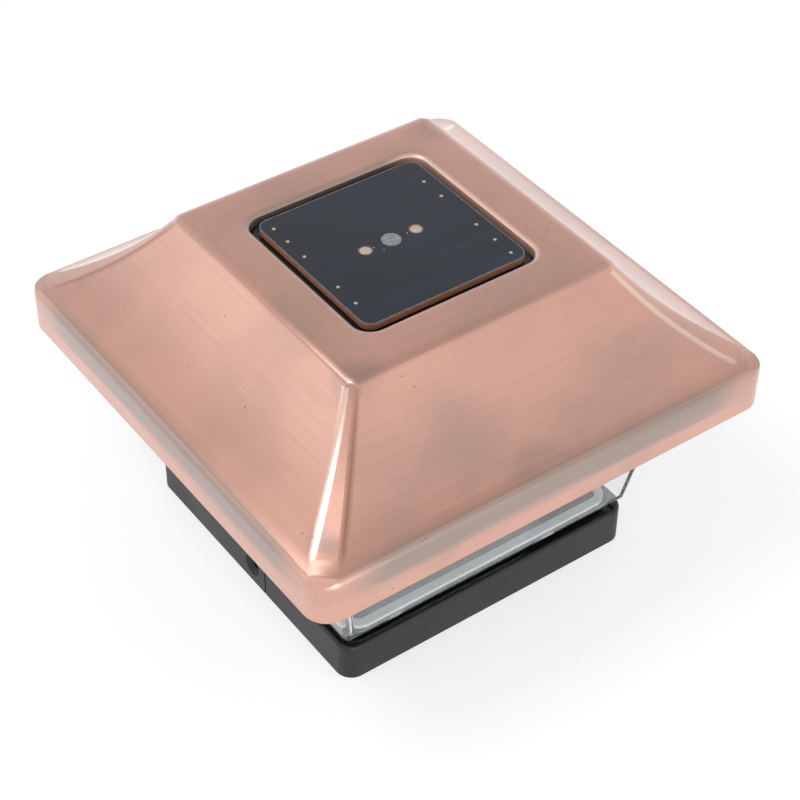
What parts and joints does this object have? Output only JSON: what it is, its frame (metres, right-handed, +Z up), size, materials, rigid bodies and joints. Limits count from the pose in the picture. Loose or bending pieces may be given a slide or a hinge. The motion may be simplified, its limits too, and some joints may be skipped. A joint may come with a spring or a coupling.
{
  "type": "deck post cap light",
  "caption": "Solar lamp for the top of a square deck post: concave copper cap with a panel, clear lens, black base socket.",
  "frame": {"origin": "centre of the base's lower rim", "axes": "+Z up the post; -X towards the side with the visible screw hole; -Y towards the plain side to its right"},
  "size_m": [0.15, 0.15, 0.1022],
  "materials": {
    "black_abs": "satin",
    "white_silicone": "matt",
    "clear_acrylic": "clear, polished",
    "copper_plate": "brushed copper plate, lightly antiqued",
    "white_abs": "satin",
    "black_foam": "matt",
    "panel_face": "dark cells under clear resin",
    "solder_pad": "satin",
    "sensor_window": "speckled",
    "red_lead": "satin",
    "black_lead": "satin",
    "board_laminate": "satin",
    "component_case": "matt",
    "led_epoxy": "clear",
    "cell_case": "plastic sleeve over metal",
    "spring_steel": "nickel plated",
    "screw_steel": "zinc plated"
  },
  "bodies": {
    "lamp": {"base": "black_abs", "base_gasket": "white_silicone", "base_screws": "screw_steel", "battery_bay": "black_abs", "battery_cell": "cell_case", "battery_plate": "spring_steel", "battery_spring": "spring_steel", "board_components": "component_case", "board_screws": "screw_steel", "cap_gasket": "black_foam", "cap_liner": "black_abs", "cap_shell": "copper_plate", "control_board": "board_laminate", "hinge_pins": "screw_steel", "leds": "led_epoxy", "lens": "clear_acrylic", "lens_seal": "white_silicone", "light_box": "white_abs", "light_sensor": "sensor_window", "liner_screws": "screw_steel", "panel_lead_black": "black_lead", "panel_lead_red": "red_lead", "panel_pad": "black_foam", "panel_terminals": "solder_pad", "panel_tray": "black_abs", "solar_panel": "panel_face", "switch_body": "component_case", "switch_leads": "red_lead", "switch_screws": "screw_steel", "tray_screws": "screw_steel"},
    "battery_door": {"battery_door": "black_abs", "door_seal": "black_foam"},
    "switch_knob": {"switch_knob": "black_abs"}
  },
  "joints": [
    {"name": "battery_door_hinge", "type": "hinge", "parent": "lamp", "child": "battery_door", "pos_m": [0, -0.0172, 0.0112], "axis": [-1, 0, 0], "range_deg": [0, 100]},
    {"name": "switch_slide", "type": "slide", "parent": "lamp", "child": "switch_knob", "axis": [1, 0, 0], "range_m": [0, 0.0025]}
  ]
}
